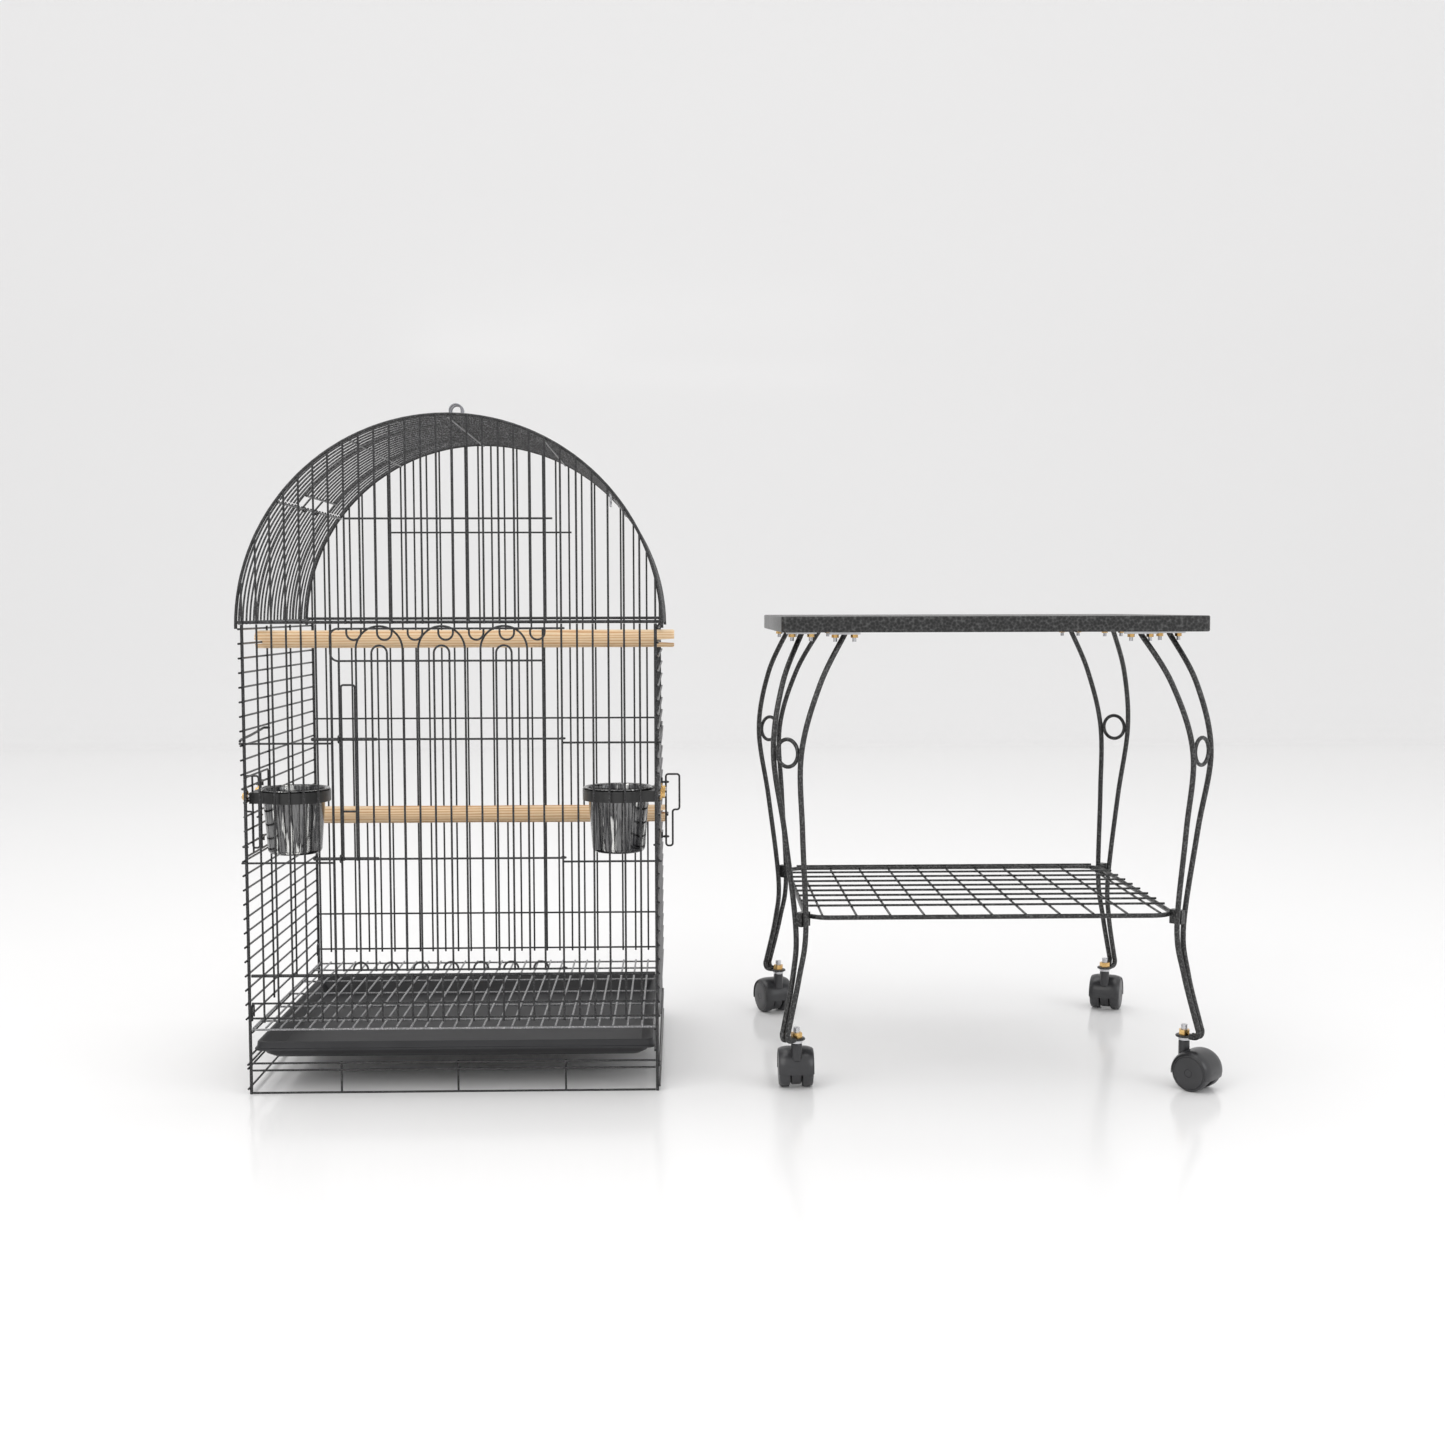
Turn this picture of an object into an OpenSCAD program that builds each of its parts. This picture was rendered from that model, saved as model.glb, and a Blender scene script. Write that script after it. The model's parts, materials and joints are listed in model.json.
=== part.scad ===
/* [Cage] */
// Width of the cage between the outer faces of its corner posts
cage_w = 516; // [500:1:530]
// Depth from the front bars to the back bars
cage_d = 402; // [395:1:410]
// Height of the spring line where the barrel roof starts
spring_z = 586; // [580:1:600]
// Radius of the barrel roof, to the middle of its wires
roof_r = 264; // [264:1:266]
// Diameter of the thin bars
wire_d = 2.6; // [2.4:0.1:2.8]
// Diameter of the frame wires and posts
frame_d = 4; // [3.6:0.1:4.2]
// Height of the lowest cross wire of the front panel
sill_z = 96; // [94:1:98]

/* [Doors] */
// Position of the door jamb on the latch side
latch_jamb_x = -147; // [-150:1:-145]
// Position of the door jamb that the door hangs on
hinge_jamb_x = 139; // [137:1:141]
// Height of the feeder opening's lower wire above the lowest side wire, in wire gaps
feeder_low = 11; // [11:1:11]
// Height of the feeder opening's upper wire, in wire gaps
feeder_high = 17; // [17:1:17]
// Depth of the feeder opening, from the front posts to its rear jamb
feeder_w = 130; // [128:1:132]
// Outer radius of the cup holder's ring
ring_r = 46; // [45:0.5:47]

/* [Perches] */
// Diameter of the perches
perch_d = 23.5; // [22:0.5:24]

/* [Stand] */
// Distance from the middle of the cage to the middle of the stand
stand_gap = 680; // [670:1:720]
// Width of the stand's board
board_w = 536; // [520:1:560]
// Depth of the stand's board
board_d = 445; // [440:1:470]
// Thickness of the board
board_t = 20; // [16:1:22]
// Height of the board's top above the floor
board_top = 600; // [595:1:605]
// Distance between caster stems across the width
stem_w = 495; // [490:1:500]
// Distance between caster stems across the depth
stem_d = 405; // [400:1:410]
// Diameter of the leg rods
rod_d = 6.5; // [6:0.5:7]
// Height of the shelf's wires
shelf_z = 220; // [210:1:230]

/* [Casters] */
// Diameter of the caster wheels
wheel_d = 48; // [46:1:50]
// Distance from the stem to the wheel axle
caster_trail = 18; // [16:1:20]

/* [Hidden] */
$fn = 96;

// Frame wires and thin bars are welded: each crossing sinks one wire this far into the other
weld = 0.4;
thin = wire_d / 2;
thick = frame_d / 2;
// Distance between the middles of two crossing wires
cross_thin = 2 * thin - weld;
jamb_d = 3.2; // the jamb that the door latches to is of thicker wire
cross_thick = thin + thick - weld;
// Gap between parts that move past each other
gap = 0.4;

// The set stands with the middle of its outline near the origin: how far it reaches past the cage's middle on
// the left and past the stand's middle on the right, and past both middles to the front and the back, where
// the hoods of the back casters stand out about 10 further
reach_left = 286.3;
reach_right = stem_w / 2 + 47.83;
reach_front = stem_d / 2 + 47.83;
reach_back = stem_d / 2 + 37.93;
cage_x = reach_left - (stand_gap + reach_right + reach_left) / 2;
stand_x = cage_x + stand_gap;
set_y = (reach_front - reach_back) / 2;
post_x = cage_w / 2 - thick;
belt_z = spring_z + 8;
side_x = post_x + cross_thick;

// Side walls: levels of the wires that run front to back
side_low = 97;
side_pitch = 18.1;
side_count = 28;
function side_level(k) = side_low + side_pitch * k;
feeder_z0 = side_level(feeder_low);
feeder_z1 = side_level(feeder_high);

// Roof: levels of the arcs, and angles of the wires that run front to back
arc_count = 22;
arc_pitch = cage_d / arc_count;
hatch_arcs = [6, 17];
roof_angles = [37.5, 63, 90, 117.5, 143.4];
roof_split = [76.5, 103.7];
belt_angle = 1.7;
low_r = roof_r - cross_thin;
function roof_x(a, r) = r * cos(a);
function roof_z(a, r) = spring_z + r * sin(a);
function arch_z(x) = spring_z + sqrt(roof_r * roof_r - x * x);

// ---- wire shapes ----

module at_cage() {
  translate([cage_x, set_y - cage_d / 2, 0]) children();
}

// Puts children on the right side, or mirrored on the left side
module on_side(side) {
  if (side > 0) children();
  else mirror([1, 0, 0]) children();
}

module bar_x(x0, x1, y, z, d = wire_d) {
  translate([x0, y, z]) rotate([0, 90, 0]) cylinder(h = x1 - x0, d = d);
}

module bar_y(x, y0, y1, z, d = wire_d) {
  translate([x, y0, z]) rotate([-90, 0, 0]) cylinder(h = y1 - y0, d = d);
}

module bar_z(x, y, z0, z1, d = wire_d) {
  translate([x, y, z0]) cylinder(h = z1 - z0, d = d);
}

// Arc in an upright plane that faces front, from angle a0 to a1, measured from +X towards +Z
module arc_xz(x, y, z, r, a0, a1, d = wire_d) {
  translate([x, y, z]) rotate([90, 0, 0]) rotate([0, 0, a0])
    rotate_extrude(angle = a1 - a0) translate([r, 0]) circle(d = d);
}

// Arc in a level plane, from angle a0 to a1, measured from +X towards +Y
module arc_xy(x, y, z, r, a0, a1, d = wire_d) {
  translate([x, y, z]) rotate([0, 0, a0])
    rotate_extrude(angle = a1 - a0) translate([r, 0]) circle(d = d);
}

// Two upright legs joined by a half circle, at the top or at the bottom
module arch_wire(x, y, z_legs, z_turn, r, d = wire_d) {
  up = z_turn > z_legs;
  union() {
    for (s = [-1, 1]) bar_z(x + s * r, y, min(z_legs, z_turn), max(z_legs, z_turn), d);
    arc_xz(x, y, z_turn, r, up ? 0 : 180, up ? 180 : 360, d);
  }
}

function unit(v) = v / norm(v);

module placed(x, y, z, at) {
  multmatrix([[x[0], y[0], z[0], at[0]], [x[1], y[1], z[1], at[1]], [x[2], y[2], z[2], at[2]], [0, 0, 0, 1]])
    children();
}

module straight(p, q, d) {
  z = unit(q - p);
  side = abs(z[2]) < 0.9 ? [0, 0, 1] : [1, 0, 0];
  x = unit(cross(side, z));
  placed(x, cross(z, x), z, p) cylinder(h = norm(q - p), d = d);
}

// One wire through points whose runs lie along the axes, with each right-angled corner bent to radius r
module bent_wire(points, d, r) {
  last = len(points) - 1;
  dirs = [for (i = [0:last - 1]) unit(points[i + 1] - points[i])];
  union() {
    for (i = [0:last - 1])
      straight(points[i] + dirs[i] * (i == 0 ? 0 : r), points[i + 1] - dirs[i] * (i == last - 1 ? 0 : r), d);
    for (i = [1:last - 1]) {
      y = dirs[i - 1];
      inward = dirs[i];
      placed(-inward, y, cross(-inward, y), points[i] - y * r + inward * r)
        rotate_extrude(angle = 90) translate([r, 0]) circle(d = d);
    }
  }
}

// ---- smooth rod: a round tube along a curve through its points ----

function curve_point(p0, p1, p2, p3, t) =
  0.5 * (2 * p1 + (p2 - p0) * t + (2 * p0 - 5 * p1 + 4 * p2 - p3) * t * t + (3 * p1 - p0 - 3 * p2 + p3) * t * t * t);

function curve(points, steps) =
  let (last = len(points) - 1)
  [for (i = [0:last - 1], s = [0:steps - 1])
    curve_point(points[max(i - 1, 0)], points[i], points[i + 1], points[min(i + 2, last)], s / steps),
    points[last]];

module smooth_rod(points, d, steps = 3, sides = 10) {
  path = curve(points, steps);
  last = len(path) - 1;
  rings = [for (i = [0:last])
    let (
      along = unit(path[min(i + 1, last)] - path[max(i - 1, 0)]),
      u = unit(cross([0, 1, 0], along)),
      v = cross(along, u)
    )
    [for (k = [0:sides - 1]) path[i] + d / 2 * (u * cos(360 * k / sides) + v * sin(360 * k / sides))]];
  skin = [for (i = [0:last - 1], k = [0:sides - 1])
    let (a = i * sides + k, b = i * sides + (k + 1) % sides)
    [a, b, b + sides, a + sides]];
  ends = [[for (k = [sides - 1:-1:0]) k], [for (k = [0:sides - 1]) last * sides + k]];
  polyhedron(points = [for (ring = rings, p = ring) p], faces = concat(skin, ends), convexity = 6);
}

// ---- cage panels ----

front_left = [for (k = [1:5]) -post_x + k * (post_x + latch_jamb_x) / 6];
front_right = [for (k = [1:5]) hinge_jamb_x + k * (post_x - hinge_jamb_x) / 6];
front_middle = [for (k = [1:14]) latch_jamb_x + k * (hinge_jamb_x - latch_jamb_x) / 15];
front_full = concat(front_left, [latch_jamb_x, hinge_jamb_x], front_right);
door_bottom = 158;
door_top = 586;
low_cross_z = 150;
mid_cross = [293, 443];
crossbar_z = 722;
stub = 5;
rail_gap = 0.3;
hairline = 0.3;

// The front panel is four flat pieces round the doorway, a hairline apart
module front_panel() { color("dimgray") at_cage() {
  inner = post_x - thick - rail_gap;
  arch_y = cross_thick;
  sill_top = low_cross_z + thick + 0.6;
  grille_top = belt_z - thick - 0.5;
  for (x = concat(front_full, front_middle)) {
    bar_z(x, 0, sill_z - stub, sill_top);
    bar_z(x, 0, grille_top + hairline, arch_z(x) + 1);
  }
  for (x = front_full) bar_z(x, 0, sill_top + hairline, grille_top, x == latch_jamb_x ? jamb_d : wire_d);
  for (x = [-post_x, post_x]) bar_z(x, 0, grille_top + hairline, arch_z(x) + 1);
  for (z = [sill_z, 115]) bar_x(-inner, inner, cross_thin, z);
  bar_x(-inner, inner, arch_y, low_cross_z, frame_d);
  for (z = mid_cross) {
    bar_x(-inner, latch_jamb_x + 1, cross_thin, z);
    bar_x(hinge_jamb_x - 1, inner, cross_thin, z);
  }
  bar_x(-post_x - 6.3, post_x + 6.3, arch_y, belt_z, frame_d);
  bar_x(-129, 129, cross_thin, crossbar_z);
  arc_xz(0, arch_y, spring_z, roof_r, 0, 180, frame_d);
} }

module back_panel() { color("dimgray") at_cage() {
  inner = post_x - thick - rail_gap;
  for (k = [1:26]) let (x = -post_x + k * 2 * post_x / 27) bar_z(x, cage_d, 98, arch_z(x) + 1);
  for (x = [-post_x, post_x]) bar_z(x, cage_d, belt_z - thick + 0.5, arch_z(x) + 1);
  for (z = [103, 156, 448]) bar_x(-inner, inner, cage_d - cross_thin, z);
  bar_x(-post_x - 6.2, post_x + 6.2, cage_d - cross_thick, belt_z + 2, frame_d);
  bar_x(-138, 127, cage_d - cross_thin, crossbar_z);
  arc_xz(0, cage_d - cross_thick, spring_z, roof_r, 0, 180, frame_d);
} }

runner_x = post_x - thick - thin + 0.4;
tray_runner_z = 52.2;
tray_base_z = 41.2;
grate_runner_z = 79;

// Upright wire in lengths that end a hairline apart, so that each band of the wall is a flat piece of its own
module cut_bar_z(x, y, z0, z1, cuts, d = wire_d) {
  levels = concat([z0 - hairline], cuts, [z1]);
  for (i = [0:len(levels) - 2]) bar_z(x, y, levels[i] + hairline, levels[i + 1], d);
}

// Drawn for the right side: posts, wall wires, and the runners that carry the tray and the grate
module side_panel(side) { color("dimgray") at_cage() on_side(side) {
  top = belt_z - thick - 0.5;
  low_cut = feeder_z0 + 6;
  high_cut = feeder_z1 - 6;
  for (y = [0, cage_d]) cut_bar_z(post_x, y, 0, top, [low_cut, high_cut], frame_d);
  for (y = [feeder_w, 262])
    cut_bar_z(side_x - cross_thin, y, side_low - 4, side_level(side_count - 1) + 3, [low_cut, high_cut]);
  for (k = [0:side_count - 1])
    bar_y(side_x, k > feeder_low && k < feeder_high ? feeder_w - 3 : -6, cage_d + 6, side_level(k));
  for (z = [7, 33, 38]) bar_y(side_x, -3, cage_d + 3, z);
  for (z = [tray_runner_z, grate_runner_z]) bar_y(runner_x, -2, cage_d + 2, z);
} }

module rail(y) {
  inner = post_x - thick - rail_gap;
  for (z = [thin, 30, 39]) bar_x(-inner, inner, y, z);
  for (x = [-143, 4, 140]) bar_z(x, y == 0 ? cross_thin : y - cross_thin, 0.4, 40);
}

module front_rail() { color("dimgray") at_cage() rail(0); }
module back_rail() { color("dimgray") at_cage() rail(cage_d); }

// ---- roof ----

roof_y0 = cross_thick + thick + 0.4;
roof_y1 = cage_d - roof_y0;
function arc_y(k) = arc_pitch * k;
function arc_d(k) = k == hatch_arcs[0] || k == hatch_arcs[1] ? 3.6 : wire_d;

module roof_wire(a, y0, y1) {
  bar_y(roof_x(a, low_r), y0, y1, roof_z(a, low_r));
}

// One flank of the barrel, from the belt to the first roof wire
module roof_flank(side) {
  belt_r = roof_r - cross_thick;
  edge = side > 0 ? roof_angles[0] : roof_angles[4];
  start = side > 0 ? belt_angle - 0.6 : edge - 0.5;
  end = side > 0 ? edge + 0.5 : 180.6 - belt_angle;
  for (k = [1:arc_count - 1]) arc_xz(0, arc_y(k), spring_z, roof_r, start, end, arc_d(k));
  bar_y(side * belt_r * cos(belt_angle), roof_y0, roof_y1, spring_z + belt_r * sin(belt_angle), frame_d);
  roof_wire(edge, roof_y0, roof_y1);
}

module roof_left() { color("dimgray") at_cage() roof_flank(-1); }
module roof_right() { color("dimgray") at_cage() roof_flank(1); }

// The top of the barrel before or behind the hatch, in three arched strips
module roof_band(first, last, y0, y1) {
  limits = [roof_angles[0] + 0.7, roof_split[0], roof_split[1], roof_angles[4] - 0.7];
  for (strip = [0:2]) {
    for (k = [first:last])
      arc_xz(0, arc_y(k), spring_z, roof_r, limits[strip] + 0.03, limits[strip + 1] - 0.03, arc_d(k));
    roof_wire(roof_angles[strip + 1], y0, y1);
  }
}

module roof_front() { color("dimgray") at_cage() roof_band(1, hatch_arcs[0], roof_y0, arc_y(hatch_arcs[0]) + 2); }
module roof_back() { color("dimgray") at_cage()
  roof_band(hatch_arcs[1], arc_count - 1, arc_y(hatch_arcs[1]) - 2, roof_y1); }

// ---- roof hatch ----

hatch_y0 = arc_y(hatch_arcs[0]) + 5;
hatch_y1 = arc_y(hatch_arcs[1]) - 5;
hatch_a0 = 39.7;
hatch_a1 = 139.5;
hatch_pin = [roof_x(roof_angles[4], low_r), roof_z(roof_angles[4], low_r)];
hook_r = 2 * thin + gap;

module hatch_hook(y) {
  start = [roof_x(hatch_a1, low_r), roof_z(hatch_a1, low_r)];
  run = start - hatch_pin;
  tilt = atan2(run[1], run[0]) - asin((hook_r - cross_thin) / norm(run));
  translate([hatch_pin[0], y, hatch_pin[1]]) rotate([0, -tilt, 0]) union() {
    arc_xz(0, 0, 0, hook_r, 90, 330);
    bar_x(0, norm(run) + 2, 0, hook_r);
  }
}

module roof_hatch() { color("gray") at_cage() {
  edges = [hatch_a0, roof_split[0], roof_split[1], hatch_a1];
  wires = [63, 90, 117.5];
  ys = concat([hatch_y0, hatch_y1], [for (k = [hatch_arcs[0] + 1:hatch_arcs[1] - 1]) arc_y(k)]);
  for (strip = [0:2]) {
    a0 = edges[strip] + (strip == 0 ? 0 : 0.03);
    a1 = edges[strip + 1] - (strip == 2 ? 0 : 0.03);
    for (y = ys) arc_xz(0, y, spring_z, roof_r, a0, a1);
    roof_wire(wires[strip], hatch_y0 - 1.5, hatch_y1 + 1.5);
  }
  for (a = [hatch_a0 + 0.3, hatch_a1 - 0.3]) roof_wire(a, hatch_y0 - 1.5, hatch_y1 + 1.5);
  for (k = [8.5, 12.5]) hatch_hook(arc_y(k));
} }

// A wire tongue on the free edge that snaps under the fixed roof wire
module hatch_catch() { color("silver") at_cage() {
  a = hatch_a0 + 4;
  r = roof_r + 2 * thin + 0.1;
  top = [roof_x(a, r), roof_z(a, r)];
  for (y = [201, 219]) bar_z(top[0], y, top[1] - 22, top[1]);
  bar_y(top[0], 201, 219, top[1] - 0.2);
} }

// Chrome rod along the ridge with two upright loops to lift the hatch by
module hatch_handle() { color("silver") at_cage() {
  d = 3;
  x = roof_x(93, roof_r);
  rod_z = roof_z(93, roof_r) + thin + d / 2;
  loop_z = rod_z + d - weld;
  bar_y(x, 150, 262, rod_z, d);
  for (y = [194, 210]) {
    arch_wire(x, y, loop_z - 1, loop_z + 21.5, 8, d);
    bar_x(x - 8, x + 8, y, loop_z, d - 0.2);
  }
} }

// ---- tray and grate ----

module floor_grate() { color("gray") at_cage() {
  half = runner_x + 0.6;
  z0 = grate_runner_z + 2 * thin + 0.1;
  for (y = [1.5, 47, 125, 200, 275, 350, cage_d - 6]) bar_x(-half, half, y, z0);
  for (k = [-13:13]) bar_y(k * 18.2, 1.5, cage_d - 6, z0 + cross_thin);
  for (s = [-1, 1]) bar_y(s * (half - 1.6), 1.5, cage_d - 6, z0 + cross_thin);
} }

module tray_block(w, d, r, h) {
  linear_extrude(h) hull() for (x = [-1, 1], y = [-1, 1])
    translate([x * (w / 2 - r), y * (d / 2 - r)]) circle(r = r, $fn = 32);
}

module tray() { color([0.06, 0.06, 0.06]) at_cage() {
  depth = cage_d - 14;
  rim_z = tray_runner_z + thin + 0.3;
  translate([0, cage_d / 2 - 4, 0]) difference() {
    union() {
      translate([0, 0, tray_base_z]) tray_block(2 * runner_x - wire_d - 4, depth - 10, 12, rim_z + 1 - tray_base_z);
      translate([0, 0, rim_z]) tray_block(2 * runner_x - wire_d - 1.4, depth - 4, 12, 11);
      translate([0, 0, rim_z]) tray_block(2 * runner_x + 0.6, depth, 8, 3.4);
    }
    translate([0, 0, tray_base_z + 2.4]) tray_block(2 * runner_x - wire_d - 9, depth - 15, 10, 40);
  }
} }

// ---- perches ----

// Each end has a slot that slips over one wall wire
module perch(y, z, slot_z, right_end) {
  difference() {
    bar_x(-side_x - 8, right_end, y, z, perch_d);
    for (s = [-1, 1]) translate([s * (side_x + 10) - 12.3, y - perch_d, slot_z - thin - gap])
      cube([24.6, 2 * perch_d, wire_d + 2 * gap]);
  }
}

module perch_upper() { color("burlywood") at_cage() perch(115, 571, side_level(26), side_x + 20); }
module perch_lower() { color("burlywood") at_cage() perch(200, 329.5, side_level(13), side_x + 8); }

// ---- main door ----

door_bars = 14;
door_pitch = 19.3;
door_left = -137;
door_first = -135;
door_y = -0.9;
door_cross_y = door_y - cross_thin;
hinge_ring = -door_cross_y;
loop_y = door_cross_y - cross_thin;
latch_y = -7.2;
latch_levels = [299.5, 449];
// The door's upper cross wire turns up at its free end, in front of the jamb, to stop the door
stop_z = 546;
stop_r = 10;
function door_x(k) = door_first + door_pitch * k;

// A cross wire whose end hooks round the jamb
module hinge_wire(z, start = door_left + 1) {
  union() {
    bar_x(start, hinge_jamb_x, door_cross_y, z);
    arc_xy(hinge_jamb_x, 0, z, hinge_ring, -90, 130);
  }
}

module main_door() { color("dimgray") at_cage() {
  for (z = [door_bottom, 298.5, 448.5]) hinge_wire(z);
  bar_z(door_left, door_y, door_bottom - 2, stop_z + 1);
  hinge_wire(door_top, door_left);
  arc_xz(door_left, door_cross_y, door_top - stop_r, stop_r, 90, 180);
  bar_z(door_left - stop_r, door_cross_y, stop_z + stop_r, door_top - stop_r);
  arc_xz(door_left, door_cross_y, stop_z + stop_r, stop_r, 180, 270);
  bar_x(door_left, door_x(13) + 1, door_cross_y, stop_z);
  bar_z(door_x(13), door_y, door_bottom - 2, door_top + 1);
  for (first = [1, 5, 9]) {
    mid = door_x(first + 1.5);
    arch_wire(mid, door_y, door_bottom - 2, door_top + 3 - 1.5 * door_pitch, 1.5 * door_pitch);
    arch_wire(mid, door_y, door_bottom - 2, 565 - door_pitch / 2, door_pitch / 2);
  }
  for (k = [0:6]) {
    arch_wire(-117 + 37.8 * k, loop_y, door_top, 581, 9);
    arch_wire(-115 + 37.6 * k, loop_y, door_bottom, 159, 9);
  }
  for (z = latch_levels) translate([door_left, latch_y, z]) rotate([0, 90, 0])
    rotate_extrude() translate([door_y - thin + weld - thin - latch_y, 0]) circle(d = wire_d);
} }

module door_latch() { color("dimgray") at_cage() {
  bars_y = latch_y - cross_thick;
  foot_z = latch_levels[0] - 2;
  bent_wire([[-133, bars_y, foot_z], [-133, bars_y, 516.5], [-116, bars_y, 516.5], [-116, bars_y, foot_z]], wire_d, 3);
  bar_x(-134, -115, bars_y + cross_thin, 359);
  for (z = latch_levels) {
    bar_x(-169.5, -90, latch_y, z, frame_d);
    translate([-169.5, latch_y, z]) sphere(d = frame_d + 0.6);
  }
} }

// ---- feeder doors, drawn for the right side ----

post_hook_r = thick + gap + thin;
feeder_x = post_x + post_hook_r;
feeder_bars_x = feeder_x - cross_thin;
feeder_edge = feeder_w - 5;
feeder_latch_y = 112;
feeder_eye_r = 2 * thin + gap + 0.1;
latch_leg_x = feeder_x + cross_thin + feeder_eye_r + cross_thin;
bolt_z = 374;
bolt_ys = [30, 95];

module feeder_door(side) { color("dimgray") at_cage() on_side(side) {
  z0 = feeder_z0 + 4.5;
  z1 = feeder_z1 - 4.5;
  for (k = [feeder_low + 1:feeder_high - 1]) {
    z = side_level(k);
    hooked = k == feeder_low + 1 || k == feeder_high - 1;
    union() {
      bar_y(feeder_x, hooked ? 0 : 8, feeder_edge + 1, z);
      if (hooked) arc_xy(post_x, 0, z, post_hook_r, -140, 0);
    }
  }
  bent_wire([[feeder_bars_x, 60, z0], [feeder_bars_x, feeder_edge, z0], [feeder_bars_x, feeder_edge, z1],
    [feeder_bars_x, 9, z1], [feeder_bars_x, 9, z0], [feeder_bars_x, 60.5, z0]], wire_d, 5);
  for (y = [42, 84]) bar_z(feeder_bars_x, y, z0, z1);
  for (z = [side_level(12) - 5, side_level(16) - 5])
    arc_xy(latch_leg_x, feeder_latch_y, z, feeder_eye_r, 0, 360);
  for (z = [side_level(12) - 5, side_level(16) - 5])
    bar_z(latch_leg_x - feeder_eye_r - cross_thin, feeder_latch_y, z - 2, z + 6);
} }

module feeder_latch(side) { color("dimgray") at_cage() on_side(side) {
  x0 = latch_leg_x;
  y = feeder_latch_y;
  bent_wire([[x0, y, 330], [x0, y, 297], [276, y, 297], [276, y, 345], [285, y, 345], [285, y, 392],
    [x0, y, 392], [x0, y, 329.5]], wire_d, 3.4);
  bar_y(x0 + cross_thin - 0.2, y - 2, feeder_w + 6, 338);
} }

cup_x = 207;
cup_y = 52;
seat_z0 = 366;
seat_z1 = 380;
pad_x = feeder_bars_x - thin - 0.2;

module cup_holder(side) { color([0.06, 0.06, 0.06]) at_cage() on_side(side) difference() {
  union() {
    translate([cup_x, cup_y, seat_z0]) cylinder(r = ring_r, h = seat_z1 - seat_z0);
    translate([cup_x + 22, cup_y - 34, seat_z0]) cube([pad_x - cup_x - 22, 68, seat_z1 - seat_z0]);
    translate([pad_x - 4, 20, seat_z0]) cube([4, 85, seat_z1 - seat_z0]);
  }
  translate([cup_x, cup_y, seat_z0 - 1]) cylinder(r = ring_r - 5, h = 20);
  for (y = bolt_ys) translate([pad_x - 10, y, bolt_z]) rotate([0, 90, 0]) cylinder(d = 5.1, h = 12);
  for (y = bolt_ys) translate([pad_x - 14, y, bolt_z]) rotate([0, 90, 0]) cylinder(d = 11, h = 10.5);
} }

module holder_bolts(side) { color("silver") at_cage() on_side(side) for (y = bolt_ys)
  translate([0, y, bolt_z]) rotate([0, 90, 0]) {
    translate([0, 0, pad_x - 6.5]) cylinder(d = 9, h = 3);
    translate([0, 0, pad_x - 3.6]) cylinder(d = 5, h = feeder_x + 12 - pad_x);
  } }

module holder_nuts(side) { color("gold") at_cage() on_side(side) for (y = bolt_ys)
  translate([feeder_x + thin + 0.1, y, bolt_z]) rotate([0, 90, 0]) difference() {
    union() {
      cylinder(d = 16, h = 1.4);
      cylinder(d = 9.2, h = 5.6, $fn = 6);
    }
    translate([0, 0, -1]) cylinder(d = 5.08, h = 8);
  } }

module cup(side) { color("silver") at_cage() on_side(side) translate([cup_x, cup_y, 0]) {
  body_r = ring_r - 6;
  foot_r = 34;
  wall = 1;
  floor_z = 299;
  lip = seat_z1 + 0.3;
  rotate_extrude() polygon(concat(
    [[0, floor_z]], [for (a = [0:15:90]) [foot_r - 6 + 6 * sin(a), floor_z + 6 - 6 * cos(a)]],
    [[body_r, lip], [body_r + 4.4, lip], [body_r + 5, lip + 1.2], [body_r + 4.4, lip + 2.4], [body_r - wall, lip + 2.4]],
    [for (a = [90:-15:0]) [foot_r - wall - 6 + 6 * sin(a), floor_z + wall + 6 - 6 * cos(a)]],
    [[0, floor_z + wall]]));
} }

// ---- stand ----

corners = [[-1, -1], [1, -1], [-1, 1], [1, 1]];
rod_path = [[-50, 36, board_top - board_t - 2.6], [-8, 31, 515], [18, 23.2, 430], [6, 15, 328], [-8, 8.4, 205],
  [1, 5.2, 145], [19, 4.2, 84], [22, 4.2, 67.5]];
tab_t = 3;
plate_z = 64;

module at_stand() {
  translate([stand_x, set_y, 0]) children();
}

// Puts children at a corner's caster stem, with +X pointing away from the stand's middle
module at_corner(c) {
  at_stand() translate([c[0] * stem_w / 2, c[1] * stem_d / 2, 0])
    rotate([0, 0, atan2(c[1], c[0])]) children();
}

// The corner's tabs lie square to the board, one for each rod of the leg
module at_tabs(c) {
  for (s = [-1, 1]) at_corner(c) translate([rod_path[0][0], s * rod_path[0][1], 0])
    rotate([0, 0, -atan2(c[1], c[0])]) children();
}

module stand_top() { color([0.13, 0.13, 0.14]) difference() {
  at_stand() translate([0, 0, board_top - board_t]) linear_extrude(board_t)
    hull() for (c = corners) translate([c[0] * (board_w / 2 - 10), c[1] * (board_d / 2 - 10)]) circle(r = 10, $fn = 48);
  for (c = corners) at_tabs(c) for (x = [-12, 12])
    translate([x, 0, board_top - board_t - 1]) cylinder(d = 5.1, h = 14);
} }

module leg_rods(c) { color("dimgray") at_corner(c) for (s = [-1, 1])
  smooth_rod([for (p = rod_path) [p[0], s * p[1], p[2]]], rod_d); }

module leg_rings() { color("dimgray") for (c = corners) at_corner(c)
  translate([rod_path[2][0] - 0.2, 0, rod_path[2][2]]) rotate([0, 90, 0])
    rotate_extrude() translate([17.2, 0]) circle(d = 5); }

module leg_spacers() { color("dimgray") for (c = corners) at_corner(c)
  translate([-21, -4.6, shelf_z - 12]) cube([17, 9.2, 18]); }

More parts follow.
